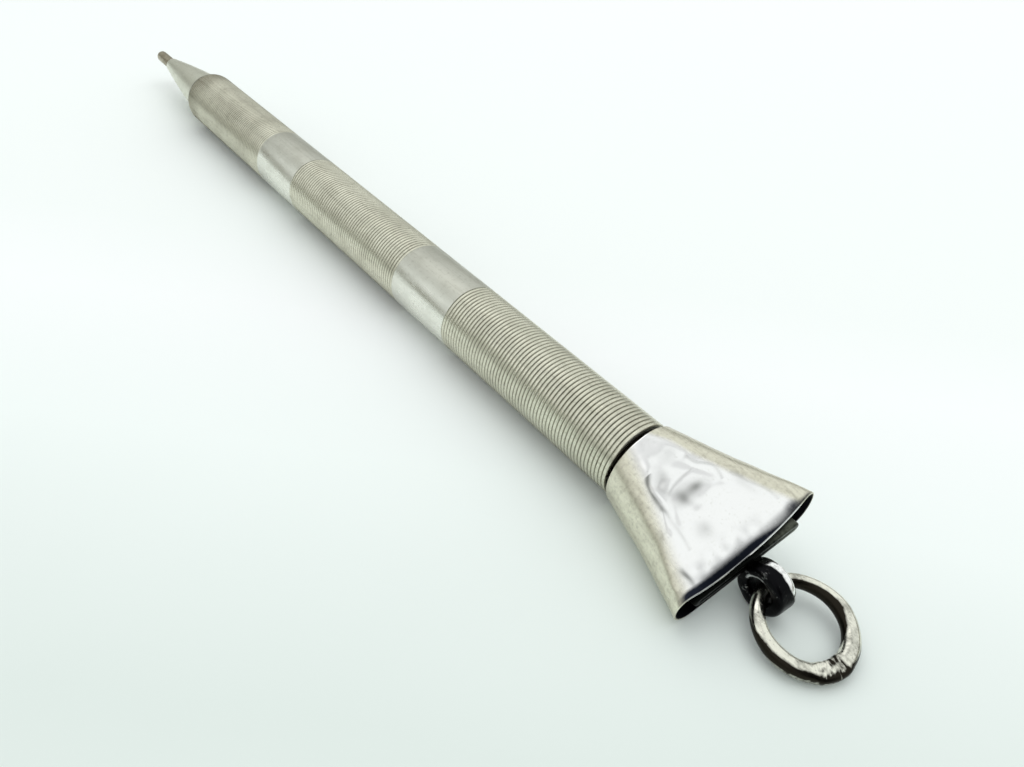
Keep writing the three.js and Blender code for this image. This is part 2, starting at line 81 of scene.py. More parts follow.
# The barrel is one drawn silver tube with a rounded front edge. Plain polished bands are left
# between three bands of engine turned ribs, which stand on a slightly sunk ground.
class Wire:
    """A node's output in sums: each operator adds the Math node that works it out."""

    def __init__(self, nodes, socket):
        self.nodes = nodes
        self.socket = socket

    def maths(self, operation, first, second=0.0):
        return self.nodes.add("ShaderNodeMath", {"operation": operation}, {0: first, 1: second})

    def __add__(self, other):
        return self.maths("ADD", self, other)

    def __radd__(self, other):
        return self.maths("ADD", other, self)

    def __sub__(self, other):
        return self.maths("SUBTRACT", self, other)

    def __rsub__(self, other):
        return self.maths("SUBTRACT", other, self)

    def __mul__(self, other):
        return self.maths("MULTIPLY", self, other)

    def __rmul__(self, other):
        return self.maths("MULTIPLY", other, self)

    def __truediv__(self, other):
        return self.maths("DIVIDE", self, other)

    def rise(self, low, high):
        """0 up to low, 1 from high, and smooth between them."""
        return self.nodes.add(
            "ShaderNodeMapRange",
            {"interpolation_type": "SMOOTHSTEP"},
            {"Value": self, "From Min": low, "From Max": high},
        )

    def clipped(self):
        return self.nodes.add(
            "ShaderNodeMath", {"operation": "ADD", "use_clamp": True}, {0: self, 1: 0.0}
        )


class Nodes:
    """A node tree being wired up. add() makes one node and gives back one of its outputs."""

    def __init__(self, tree):
        self.tree = tree

    def add(self, kind, settings=None, inputs=None, output=0):
        node = self.tree.nodes.new(kind)
        for name, value in (settings or {}).items():
            if name == "stops":
                ramp = node.color_ramp.elements
                while len(ramp) < len(value):
                    ramp.new(0.5)
                for element, (place, colour) in zip(ramp, value):
                    element.position = place
                    element.color = colour
            else:
                setattr(node, name, value)
        for name, value in (inputs or {}).items():
            if isinstance(value, Wire):
                self.tree.links.new(value.socket, node.inputs[name])
            else:
                node.inputs[name].default_value = value
        return Wire(self, node.outputs[output])

    def mixed(self, factor, first, second):
        """A colour between two colours."""
        colours = {"Factor": factor, 6: first, 7: second}
        return self.add("ShaderNodeMix", {"data_type": "RGBA"}, colours, output=2)

    def cloud(self, place, scale, detail=3, roughness=0.6):
        """Soft noise at a scale in waves per metre, or per metre along each axis."""
        if isinstance(scale, tuple):
            place = self.add("ShaderNodeMapping", {}, {"Vector": place, "Scale": scale})
            scale = 1
        return self.add(
            "ShaderNodeTexNoise",
            {},
            {"Vector": place, "Scale": scale, "Detail": detail, "Roughness": roughness},
        )

    def hairlines(self, place, turn, along, across, share):
        """Fine scratches that run one way, over about the given share of the surface."""
        scale = (along, across, across)
        laid = {"Vector": place, "Rotation": turn, "Scale": scale}
        laid = self.add("ShaderNodeMapping", {}, laid)
        return self.cloud(laid, 1, 2).rise(0.74 - share, 0.8 - share)

    def attribute(self, name):
        return self.add("ShaderNodeAttribute", {"attribute_name": name}, output="Fac")


def finish(name, metallic=1.0):
    """A new material, its nodes and its shader."""
    material = bpy.data.materials.new(name)
    material.use_nodes = True
    shader = material.node_tree.nodes["Principled BSDF"]
    shader.inputs["Metallic"].default_value = metallic
    return material, Nodes(material.node_tree), shader


def dress(nodes, shader, colour, rough, height, distance, strength=1.0):
    """Links a finish's colour, roughness and relief to its shader."""
    relief = nodes.add(
        "ShaderNodeBump", {}, {"Strength": strength, "Distance": distance, "Height": height}
    )
    for name, wire in (("Base Color", colour), ("Roughness", rough.clipped()), ("Normal", relief)):
        nodes.tree.links.new(wire.socket, shader.inputs[name])


def from_axis(nodes, place):
    """A point's distance from the pencil's axis."""
    for operation, vector in (("SUBTRACT", tuple(axis_end)), ("MULTIPLY", (0, 1, 1))):
        place = nodes.add("ShaderNodeVectorMath", {"operation": operation}, {0: place, 1: vector})
    return nodes.add("ShaderNodeVectorMath", {"operation": "LENGTH"}, {0: place}, output="Value")


def barrel_silver(name, bright, dull, polish, groove=None, shaded_top=False):
    """Silver that was polished along its length and handled for years. It is darker at the barrel's
    front, and painted darker underneath as shade. With its top flag set, the top is painted darker
    as a dark reflection. Groove gives the depth at which tarnish is full."""
    material, nodes, shader = finish(name)
    place = nodes.add("ShaderNodeTexCoord", output="Object")
    cloud = nodes.cloud(place, 330, 4)
    speck = nodes.cloud(place, 2900, 3, 0.7)
    streak = nodes.cloud(place, (120, 2600, 2600), 3)
    hairs = nodes.hairlines(place, (0.3, 0.5, 0.2), 300, 5200, 0.14)
    hairs = hairs + nodes.hairlines(place, (1.1, 0.2, 0.9), 260, 4300, 0.12)
    darkening = 0.2 * cloud.rise(0.4, 0.75) + 0.3 * speck.rise(0.52, 0.74)
    darkening = darkening + 0.14 * streak.rise(0.48, 0.7)
    along = nodes.add("ShaderNodeSeparateXYZ", {}, {"Vector": place})
    height = nodes.add("ShaderNodeSeparateXYZ", {}, {"Vector": place}, output=2)
    # Painted shade: the underside is darker, towards the table.
    low = axis_end.z - 0.6 * barrel_radius
    darkening = darkening + 0.6 * (1 - height.rise(low, low + 0.25 * barrel_radius))
    front = axis_end.x - barrel_length
    on_barrel = along.rise(front - 2 * mm, front)
    darkening = darkening + 0.45 * on_barrel * (1 - along.rise(front, front + 5 * mm))
    darkening = darkening + 0.2 * on_barrel * (1 - along.rise(front + 18 * mm, front + 24 * mm))
    # Painted dark reflection: the top is darker.
    if shaded_top:
        top = axis_end.z + 0.55 * barrel_radius
        darkening = darkening + 0.75 * height.rise(top, top + 0.35 * barrel_radius)
    if groove:
        crest = barrel_radius - 0.15 * groove
        sunk = 1 - from_axis(nodes, place).rise(barrel_radius - groove, crest)
        darkening = darkening + sunk * (0.55 + 0.3 * cloud)
    darkening = darkening.clipped()
    colour = nodes.mixed(darkening, bright, dull)
    rough = polish + 0.18 * darkening + 0.14 * (cloud - 0.5) + 0.1 * (streak - 0.5) + 0.07 * hairs
    relief = 0.4 * cloud + 0.25 * speck + 0.5 * streak - 0.3 * hairs
    dress(nodes, shader, colour, rough, relief, 0.012 * mm, 0.6)
    return material


def mesh_piece(name, points, faces, material, sharp=35):
    """An object of a closed mesh in its place in the frame, smooth but for its sharp edges."""
    mesh = bpy.data.meshes.new(name)
    mesh.from_pydata([tuple(point) for point in points], [], faces)
    shell = bmesh.new()
    shell.from_mesh(mesh)
    bmesh.ops.recalc_face_normals(shell, faces=shell.faces)
    shell.to_mesh(mesh)
    shell.free()
    mesh.polygons.foreach_set("use_smooth", [True] * len(mesh.polygons))
    mesh.set_sharp_from_angle(angle=math.radians(sharp))
    mesh.materials.append(material)
    return placed(name, mesh)


def settled(piece):
    """Makes what a piece's modifier gives into the piece's own mesh."""
    result = piece.evaluated_get(bpy.context.evaluated_depsgraph_get())
    mesh = bpy.data.meshes.new_from_object(result)
    piece.modifiers.clear()
    piece.data = mesh
    return mesh


def fitted(piece, body, slot, *nodes):
    """Sets what a finished piece moves with and the solids it stands for. Slot is not used."""
    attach(piece, body)
    if nodes:
        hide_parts(*nodes)


def looped_rows(rows):
    """The faces of a closed surface through loops of points, the last loop joined to the first."""
    count = len(rows[0])
    faces = []
    for i in range(len(rows)):
        here = i * count
        after = (i + 1) % len(rows) * count
        for j in range(count):
            k = (j + 1) % count
            faces.append((here + j, after + j, after + k, here + k))
    return faces


def looped_piece(name, rows, material, sharp=35):
    """A closed piece through loops of points."""
    points = [point for row in rows for point in row]
    return mesh_piece(name, points, looped_rows(rows), material, sharp)


def rounded(outline, radius, steps=3):
    """A closed outline with each of its corners rounded."""
    points = []
    for i, corner in enumerate(outline):
        corner = Vector(corner)
        before = Vector(outline[i - 1]) - corner
        after = Vector(outline[(i + 1) % len(outline)]) - corner
        reach = min(radius, before.length * 0.45, after.length * 0.45)
        start = corner + before.normalized() * reach
        end = corner + after.normalized() * reach
        for j in range(steps + 1):
            share = j / steps
            bend = corner * 2 * share * (1 - share)
            points.append(start * (1 - share) ** 2 + bend + end * share**2)
    return points


def turned_piece(name, outline, material, facets, sharp=35):
    """A tube turned about the pencil's axis from a closed outline of (place, radius) points."""
    rows = []
    for place, radius in outline:
        row = []
        for i in range(facets):
            angle = 2 * math.pi * i / facets
            point = Vector((place, radius * math.sin(angle), radius * math.cos(angle)))
            row.append(axis_end + point)
        rows.append(row)
    return looped_piece(name, rows, material, sharp)


barrel_low, barrel_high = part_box("barrel")
barrel_radius = (barrel_high.y - barrel_low.y) / 2
barrel_length = barrel_high.x - barrel_low.x
barrel_wall = 0.5 * mm
barrel_edge = 0.4 * mm
barrel_edge_steps = 6
barrel_facets = 96
rib_edge = 0.06 * mm
rib_pitch = 0.425 * mm
ribs_per_band = 56
rib_depth = 0.13 * mm
rib_half_share = 0.49
rib_corners = 12
band_length = rib_pitch * ribs_per_band
plain_length = (barrel_length - 3 * band_length) / 2
band_starts = [i * (band_length + plain_length) - barrel_length for i in range(3)]

# The plain bands have their top painted darker as a dark reflection.
plain_silver = barrel_silver(
    "plain_silver", (0.81, 0.82, 0.74, 1), (0.5, 0.5, 0.43, 1), 0.27, shaded_top=True
)

outside = []
for i in range(barrel_edge_steps + 1):
    angle = math.pi / 2 * i / barrel_edge_steps
    from_front = barrel_edge * (1 - math.cos(angle))
    sunk = barrel_edge * (1 - math.sin(angle))
    outside.append((from_front - barrel_length, barrel_radius - sunk))
# The front band starts one rib late, behind the rounded edge.
for start in band_starts:
    first_groove = max(start, rib_pitch - barrel_length)
    outside.append((first_groove, barrel_radius))
    outside.append((first_groove, barrel_radius - rib_depth))
    outside.append((start + band_length, barrel_radius - rib_depth))
    if start != band_starts[-1]:
        outside.append((start + band_length, barrel_radius))
bore = [(0, barrel_radius - barrel_wall), (-barrel_length, barrel_radius - barrel_wall)]
barrel_outline = rounded(outside + bore, rib_edge)
barrel_tube = turned_piece("barrel_tube", barrel_outline, plain_silver, barrel_facets)
fitted(barrel_tube, "barrel", "silver_barrel", "barrel")

# The ribs are cut round the barrel on an engine, 56 to a band. Each is a low rounded ridge, and
# the narrow grooves between them hold the dark tarnish that polishing doesn't reach.
rib_tree = bpy.data.node_groups.new("engine_turned_ribs", "GeometryNodeTree")
for label, kind in (
    ("Crest radius", "Float"),
    ("Rib pitch", "Float"),
    ("Rib depth", "Float"),
    ("Rib count", "Int"),
    ("Facets round", "Int"),
    ("First rib", "Vector"),
    ("Silver", "Material"),
):
    rib_tree.interface.new_socket(label, in_out="INPUT", socket_type="NodeSocket" + kind)
rib_tree.interface.new_socket("Ribs", in_out="OUTPUT", socket_type="NodeSocketGeometry")
rib_nodes = Nodes(rib_tree)
given = rib_tree.nodes.new("NodeGroupInput")
size = {socket.name: Wire(rib_nodes, socket) for socket in given.outputs if socket.name}
rib_circle = rib_nodes.add(
    "GeometryNodeCurvePrimitiveCircle",
    {},
    {"Resolution": size["Facets round"], "Radius": size["Crest radius"] - size["Rib depth"]},
)
half_section = rib_nodes.add(
    "ShaderNodeCombineXYZ",
    {},
    {"X": size["Rib depth"], "Y": size["Rib pitch"] * rib_half_share, "Z": 1.0},
)
rib_section = rib_nodes.add(
    "GeometryNodeCurvePrimitiveCircle", {}, {"Resolution": rib_corners, "Radius": 1.0}
)
rib_section = rib_nodes.add(
    "GeometryNodeTransform", {}, {"Geometry": rib_section, "Scale": half_section}
)
one_rib = rib_nodes.add(
    "GeometryNodeCurveToMesh", {}, {"Curve": rib_circle, "Profile Curve": rib_section}
)
one_rib = rib_nodes.add(
    "GeometryNodeTransform", {}, {"Geometry": one_rib, "Rotation": (0, math.pi / 2, 0)}
)
next_rib = rib_nodes.add("ShaderNodeCombineXYZ", {}, {"X": size["Rib pitch"]})
row_of_places = rib_nodes.add(
    "GeometryNodeMeshLine",
    {},
    {"Count": size["Rib count"], "Start Location": size["First rib"], "Offset": next_rib},
)
ribs = rib_nodes.add(
    "GeometryNodeInstanceOnPoints", {}, {"Points": row_of_places, "Instance": one_rib}
)
ribs = rib_nodes.add("GeometryNodeRealizeInstances", {}, {"Geometry": ribs})
ribs = rib_nodes.add("GeometryNodeSetMaterial", {}, {"Geometry": ribs, "Material": size["Silver"]})
rib_end = rib_tree.nodes.new("NodeGroupOutput")
rib_tree.links.new(ribs.socket, rib_end.inputs["Ribs"])

ribbed_silver = barrel_silver(
    "ribbed_silver", (0.72, 0.71, 0.585, 1), (0.25, 0.235, 0.175, 1), 0.27, groove=0.1 * mm
)
for start, where in zip(band_starts, ("front", "middle", "rear")):
    spare_ribs = 1 if where == "front" else 0
    rib_sizes = {
        "Crest radius": barrel_radius,
        "Rib pitch": rib_pitch,
        "Rib depth": rib_depth,
        "Rib count": ribs_per_band - spare_ribs,
        "Facets round": barrel_facets,
        "First rib": axis_end + Vector((start + rib_pitch * (spare_ribs + 0.5), 0, 0)),
        "Silver": ribbed_silver,
    }
    blank = placed("barrel_ribs_" + where, bpy.data.meshes.new("rib_blank"))
    turning = blank.modifiers.new("turning", "NODES")
    turning.node_group = rib_tree
    for socket in rib_tree.interface.items_tree:
        if socket.name in rib_sizes:
            turning[socket.identifier] = rib_sizes[socket.name]
    turned_ribs = settled(blank)
    turned_ribs.name = blank.name
    turned_ribs.polygons.foreach_set("use_smooth", [True] * len(turned_ribs.polygons))
    fitted(blank, "barrel", "silver_barrel")

# The nose is a plain silver cone over the brass liner, a little swelled at its middle, with its
# edges rubbed round. It has been handled more than the barrel, and so is greyer and duller.
nose_gap = 0.05 * mm
nose_back = -barrel_length - nose_gap
nose_length = 15.8 * mm
nose_end = nose_back - nose_length
nose_back_diameter = 6.4 * mm
nose_tip_diameter = 2.2 * mm
nose_swell = 0.12 * mm
nose_wall = 0.4 * mm
nose_rim = 0.08 * mm
nose_steps = 24
nozzle_seat = 0.9 * mm


def nose_radius(place):
    share = (nose_back - place) / nose_length
    straight = (nose_back_diameter + (nose_tip_diameter - nose_back_diameter) * share) / 2
    return straight + nose_swell * math.sin(math.pi * share)


nose_silver = barrel_silver("nose_silver", (0.7, 0.71, 0.6, 1), (0.45, 0.44, 0.35, 1), 0.34)
nose_places = [nose_end + nose_length * i / nose_steps for i in range(nose_steps + 1)]
nose_outline = [(place, nose_radius(place)) for place in nose_places]
nose_outline += [
    (place, max(nozzle_seat, nose_radius(place) - nose_wall)) for place in reversed(nose_places)
]
nose_outline = rounded(nose_outline, nose_rim, 2)
nose_shell = turned_piece("nose_shell", nose_outline, nose_silver, barrel_facets)
fitted(nose_shell, "barrel", "silver_nose", "nose_cone")


# The nozzle is a thin drawn brass tube, pushed into the cone from inside. It stands out at the
# point, where paper and handling have turned it brown.
def turned_brass(name, bright, dull, polish, pitch=0.05 * mm):
    """Brass or steel with the fine rings that a lathe leaves round the axis."""
    material, nodes, shader = finish(name)
    place = nodes.add("ShaderNodeTexCoord", output="Object")
    cloud = nodes.cloud(place, 420, 4)
    rings = nodes.cloud(place, (0.4 / pitch, 40, 40), 2)
    speck = nodes.cloud(place, 2600, 3, 0.7)
    darkening = (0.6 * cloud.rise(0.4, 0.7) + 0.4 * speck.rise(0.5, 0.75)).clipped()
    colour = nodes.mixed(darkening, bright, dull)
    rough = polish + 0.2 * darkening + 0.16 * (rings - 0.5)
    dress(nodes, shader, colour, rough, 0.8 * rings + 0.3 * speck, 0.01 * mm, 0.6)
    return material


brown_brass = turned_brass("brown_brass", (0.4, 0.36, 0.26, 1), (0.2, 0.17, 0.11, 1), 0.34)
nozzle_radius = 0.85 * mm
nozzle_bore = 0.67 * mm
nozzle_rim = 0.07 * mm
nozzle_back = nose_end + 3.8 * mm
nozzle_front = nose_end - 4.8 * mm
nozzle_outline = [
    (nozzle_front, nozzle_radius),
    (nozzle_back, nozzle_radius),
    (nozzle_back, nozzle_bore),
    (nozzle_front, nozzle_bore),
]
nozzle = turned_piece("nozzle", rounded(nozzle_outline, nozzle_rim), brown_brass, 64)
fitted(nozzle, "barrel", "brass_nozzle", "nozzle_tube")

# The lead is a plain rod of graphite in clay, gripped by the cup behind it. It stands a little
# way back inside the nozzle, as it does when the pencil is put away.
graphite, nodes, shader = finish("graphite", 0.25)
place = nodes.add("ShaderNodeTexCoord", output="Object")
grain = nodes.cloud(place, 3800, 4, 0.7)
rubbed = nodes.cloud(place, (300, 3000, 3000), 2)
colour = nodes.mixed(grain.rise(0.35, 0.7), (0.035, 0.036, 0.04, 1), (0.12, 0.12, 0.13, 1))
rough = 0.38 + 0.3 * (grain - 0.5) + 0.25 * (rubbed - 0.5)
dress(nodes, shader, colour, rough, grain, 0.01 * mm)


def refinished(material, *names):
    """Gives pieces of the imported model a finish."""
    for name in names:
        frame["nodes"][name].material_slots[0].material = material


refinished(graphite, "lead")

# The mechanism is turned brass with steel pins, and it shows only when the pencil is opened. Its
# pieces are those of the imported model. The bush and the stem's plug show in the gap behind the
# barrel, and are painted near black as the shade in that gap.
mechanism_brass = turned_brass("mechanism_brass", (0.83, 0.66, 0.36, 1), (0.5, 0.38, 0.2, 1), 0.28)
refinished(mechanism_brass, "spiral_tube", "front_guide", "guide_tube", "nose_liner")
refinished(mechanism_brass, "drive_tube", "retaining_collar", "carrier", "lead_cup")
gap_shade_brass = turned_brass("gap_shade_brass", (0.09, 0.075, 0.05, 1), (0.02, 0.018, 0.015, 1), 0.55)
refinished(gap_shade_brass, "rear_bush", "finial_plug")
pin_steel = turned_brass("pin_steel", (0.6, 0.61, 0.62, 1), (0.36, 0.35, 0.34, 1), 0.26)
refinished(pin_steel, "friction_washer", "drive_pin", "carrier_lug", "push_rod")

# The finial is sheet silver, drawn out from a round rim into a wide flat mouth and soldered to
# its stem. Its broad faces are polished like a mirror, dented and creased, its sides are brushed,
# and the mouth's lip is turned down. It lies rolled over onto one corner of the mouth.
finial_rim = 0.45 * mm
finial_length = 11.2 * mm
finial_mouth = finial_rim + finial_length
rim_width = 8 * mm
rim_thickness = 7.5 * mm
mouth_width = 15.3 * mm
mouth_thickness = 4.3 * mm
shell_wall = 0.42 * mm
shell_edge = 0.08 * mm
lip_turn = 0.35 * mm
lip_length = 1.1 * mm
lie_angle = math.asin(0.31041)


def finial_point(place, across, up):
    """A point of the frame from a place along the finial, and across and up from its axis."""
    return axis_end + Vector(
        (
            place,
            across * math.cos(lie_angle) - up * math.sin(lie_angle),
            across * math.sin(lie_angle) + up * math.cos(lie_angle),
        )
    )


def between(share, low, high):
    """A value some share of the way from low to high."""
    return low + (high - low) * share


def smooth_rise(value, low, high):
    """0 up to low, 1 from high, and smooth between them."""
    share = min(1, max(0, (value - low) / (high - low)))
    return share * share * (3 - 2 * share)


def finial_halves(place):
    """The outer half width and half thickness of the finial's oval section."""
    share = min(1, max(0, (place - finial_rim) / finial_length))
    flare = 0.86 * share + 0.14 * share**3
    turn = max(0, (place - finial_mouth + lip_length) / lip_length)
    half_width = between(flare, rim_width, mouth_width) / 2
    return half_width, between(share, rim_thickness, mouth_thickness) / 2 - lip_turn * turn**2


def bent_line(points, place):
    """How far across a line of (place, across) points lies, at a place along the finial."""
    for (start, low), (end, high) in zip(points, points[1:]):
        if place <= end:
            return between(max(0, (place - start) / (end - start)), low, high)
    return points[-1][1]


left_crease = [(0.4, -0.8), (3.4, -2.0), (5.9, -3.2), (11.7, -6.0)]
right_crease = [(0.4, 0.6), (2, 1.5), (4.1, 2.0), (7, 3.0), (9.3, 4.0), (11.7, 5.4)]


def swell(offset, breadth):
    """A smooth hump, which is 1 in its middle and falls away past its breadth."""
    return math.exp(-((offset / breadth) ** 2))


def hollow(place, across, at, reach, depth):
    """A round sided dent at (place, across), with its half lengths and depth in millimetres."""
    return -depth * swell(place - at[0], reach[0]) * swell(across - at[1], reach[1])


def wavered(place, across):
    """The place of a mark, which isn't drawn with a rule."""
    start = Vector((place * 0.55, across * 0.55, 7))
    return place + 0.45 * noise.noise(start), across + 0.45 * noise.noise(start.yxz)


def line_mark(place, across, points, breadth):
    """How strongly a thin mark along a line of (place, across) points shows at a point."""
    if not points[0][0] < place < points[-1][0]:
        return 0
    return swell(across - bent_line(points, place), breadth)


def cross_scratch(place, across):
    """How strongly the long scratch across the upper face shows at a point."""
    length_share = max(0, 1 - ((across + 0.15) / 1.75) ** 2)
    offset = (place - 5.4) + (across + 1.9) * 0.143
    return length_share * swell(offset, 0.09)


def panel_relief(place, across):
    """How far the upper face stands above its plain shape, in millimetres."""
    place, across = wavered(place, across)
    left = across - bent_line(left_crease, place)
    right = bent_line(right_crease, place) - across
    relief = 0.09 * swell(left, 0.35) - 0.05 * swell(left - 0.7, 0.4)
    relief += 0.05 * swell(right, 0.4) - 0.04 * swell(right - 0.8, 0.5)
    for at, reach, depth in (
        ((5.9, -1.0), (1.3, 1.0), 0.1),
        ((6.3, 0.7), (0.8, 0.7), 0.05),
        ((4.2, -1.2), (0.6, 0.6), 0.05),
        ((3.1, 0.5), (0.9, 0.6), 0.05),
        ((9.0, 1.2), (1.6, 1.2), 0.06),
        ((8.7, -2.0), (1.3, 0.8), 0.05),
        ((7.0, 2.9), (1.2, 0.35), 0.08),
        ((10.4, 4.3), (0.9, 0.4), 0.07),
    ):
        relief += hollow(place, across, at, reach, depth)
    relief *= between(smooth_rise(place, 1.8, 4.6), 0.12, 1)
    relief -= 0.012 * cross_scratch(place, across)
    nick = [(10.1, -5.45), (11.1, -5.45)]
    return relief - 0.06 * line_mark(place, across, nick, 0.12)


def panel_shade_and_scratches(place, across):
    """How dark the upper face is painted: shade in its dents and along its creases, and the
    scratches in it.
    """
    place, across = wavered(place, across)
    grey = 0
    for at, reach, depth in (
        ((6.1, -0.9), (0.55, 1.0), 0.62),
        ((6.2, 0.4), (0.45, 0.6), 0.4),
        ((4.9, -1.7), (0.5, 0.4), 0.3),
        ((4.1, -1.3), (0.8, 0.55), 0.36),
        ((3.0, 0.4), (0.5, 0.7), 0.2),
        ((9.0, -1.7), (0.5, 0.55), 0.22),
        ((10.6, -5.3), (0.55, 0.2), 0.75),
        ((8.3, 3.4), (1.1, 0.35), 0.14),
        ((11.2, 1.6), (0.2, 0.2), 0.3),
    ):
        grey -= hollow(place, across, at, reach, depth)
    streak = [(3.3, -1.9), (4.4, -2.6), (6.0, -3.25), (7.4, -3.35), (9.4, -3.75)]
    fading = between(smooth_rise(place, 5.4, 6.8), 0.95, 0.2)
    grey += fading * line_mark(place, across, streak, 0.17)
    arcs = [(3.9, 1.8), (4.95, 2.14), (5.86, 2.53), (7.1, 2.28)]
    grey += 0.28 * line_mark(place, across, arcs, 0.15)
    ridge = [(6.9, 3.3), (9.3, 4.1), (10.8, 4.54)]
    grey += 0.2 * line_mark(place, across, ridge, 0.15)
    grey += 0.35 * cross_scratch(place, across)
    return grey * (1 + 0.7 * noise.noise(Vector((place * 0.9, across * 0.9, 0))))


def under_relief(place, across):
    """How far the lower face stands out: the upper face's dents turned end for end and drawn in
    to fit, which are weaker here."""
    upper_half = 6.5 - 0.35 * place
    lower_half = 1.5 + 0.35 * place
    return 0.6 * panel_relief(12 - place, -across * upper_half / lower_half)


def under_crease(place):
    """How far across the lower face's creases lie."""
    return 0.8 + 0.45 * place


def side_facing_shade(direction, place):
    """How much painted dark reflection the sides get, by the way that they face. Direction is the
    outward one.
    """
    turn = math.degrees(math.acos(max(-1, min(1, direction[1]))))
    if direction[0] < 0:
        return 0.25 * swell(turn - 80, 5) + 0.15 * smooth_rise(turn, 80, 105)
    return 0.3 * smooth_rise(turn, 34, 56) * (1 - 0.8 * smooth_rise(place, 7.5, 10))


def ripple(point, waves, amount):
    """The slight unevenness of beaten sheet, in millimetres. Point is in millimetres."""
    return amount * noise.noise(Vector(point) * waves)


def oval_point(half_width, half_thickness, share):
    """A point and its outward direction, a share of the way round a straight sided oval."""
    flat = 2 * (half_width - half_thickness)
    arc = math.pi * half_thickness
    along = share % 1 * (2 * flat + 2 * arc)
    for side in (1, -1):
        if along <= arc:
            angle = along / half_thickness
            direction = (side * math.sin(angle), side * math.cos(angle))
            return (
                side * flat / 2 + half_thickness * direction[0],
                half_thickness * direction[1],
                direction,
            )
        along -= arc
        if along <= flat:
            return side * (flat / 2 - along), -side * half_thickness, (0, -side)
        along -= flat
    return flat / 2, half_thickness, (0, 1)


# The mouth has been pressed: its middle has sunk in, and its lip bows out and is a little askew.
# These are in millimetres.
press_length = 4
press_half_width = 6.6
upper_press = 0.75
lower_press = 0.3
lip_bow = 0.45
lip_skew = 0.4


def pressed(place, across, up):
    """Where a point of the plain shell went when the mouth was pressed, in millimetres."""
    mouth = finial_mouth / mm
    near = min(1, max(0, (place - mouth + press_length) / press_length)) ** 2
    share = across / (mouth_width / 2 / mm)
    middle = max(0, 1 - (across / press_half_width) ** 4)
    reach = lip_bow * (1 - share**2) + lip_skew / 2 * (1 + share)
    press = -upper_press if up > 0 else lower_press
    return place + reach * near, across, up + press * middle * near


def lip_dark_reflection(place, across, face, depth):
    """How dark the painted reflection is along the mouth's edge, on the faces' outer side."""
    mottled = 0.5 + 1.6 * noise.noise(Vector((place * 1.3, across * 1.3, 3)))
    mottled_reflection = 0.22 * smooth_rise(place, 9.6, 11.1) * mottled * (1 - smooth_rise(across, 0, 3))
    starts = 11.05 + 0.3 * smooth_rise(across, 0, 4)
    edge = smooth_rise(place, starts, starts + 0.3)
    return face * (1 - smooth_rise(depth, 0.02, 0.15)) * max(edge, mottled_reflection, 0)


edge_steps = 5
outer_steps = 150
inner_steps = 30
shell_start = finial_rim + shell_edge
shell_stop = finial_mouth - shell_edge
shell_reach = shell_stop - shell_start
shell_rows = [(shell_start + shell_reach * i / outer_steps, 0) for i in range(outer_steps + 1)]
for i in range(1, edge_steps):
    angle = math.pi * i / edge_steps
    inset = shell_wall / 2 * (1 - math.cos(angle))
    shell_rows.append((shell_stop + shell_edge * math.sin(angle), inset))
for i in range(inner_steps + 1):
    shell_rows.append((shell_stop - shell_reach * i / inner_steps, shell_wall))
for i in range(1, edge_steps):
    angle = math.pi * i / edge_steps
    inset = shell_wall / 2 * (1 + math.cos(angle))
    shell_rows.append((shell_start - shell_edge * math.sin(angle), inset))

shell_columns = 256
shell_loops = []
wear_and_shade = {"side": [], "inside": [], "lip": [], "grey": [], "brown": []}
for distance, inset in shell_rows:
    loop = []
    half_width, half_thickness = finial_halves(distance)
    place = distance / mm
    depth = inset / shell_wall
    inset *= 1 - 0.5 * smooth_rise(place, 8.5, 11.5)
    for j in range(shell_columns):
        across, up, direction = oval_point(
            half_width - inset, half_thickness - inset, j / shell_columns
        )
        across /= mm
        up /= mm
        if up > 0:
            stand = panel_relief(place, across)
            left = across - bent_line(left_crease, place)
            right = bent_line(right_crease, place) - across
            grey = panel_shade_and_scratches(place, across)
        else:
            stand = under_relief(place, across)
            left = under_crease(place) + across
            right = under_crease(place) - across
            # The lower face gets the upper face's painted shade and scratches, turned round and
            # weaker.
            grey = 0.5 * panel_shade_and_scratches(12 - place, -across)
        face = smooth_rise(abs(direction[1]), 0.55, 0.95)
        spot = (place, across, up)
        uneven = ripple(spot, 0.5, 0.05) + ripple(spot, 1.3, 0.008)
        stand = stand * face + uneven * between(smooth_rise(place, 1.5, 4.5), 0.45, 1)
        ends = smooth_rise(place, 0.45, 1.6) * (1 - 0.9 * smooth_rise(place, 9.5, 11.2))
        stand = stand * ends - 0.1 * face * smooth_rise(place, 8.5, 10.5)
        place_now, across_now, up_now = pressed(place, across, up)
        across_now += direction[0] * stand
        up_now += direction[1] * stand
        point = finial_point(place_now * mm, across_now * mm, up_now * mm)
        point.z = max(point.z, 0)
        loop.append(point)
        # Side marks the brushed sides. The other values are painted shade and dark reflections,
        # together with the scratches.
        wear_and_shade["side"].append(1 - smooth_rise(min(left, right * 2), -1.1, 0.3))
        wear_and_shade["inside"].append(smooth_rise(depth, 0.55, 0.8))
        wear_and_shade["lip"].append(lip_dark_reflection(place, across, face, depth))
        wear_and_shade["grey"].append(grey)
        wear_and_shade["brown"].append(side_facing_shade(direction, place))
    shell_loops.append(loop)

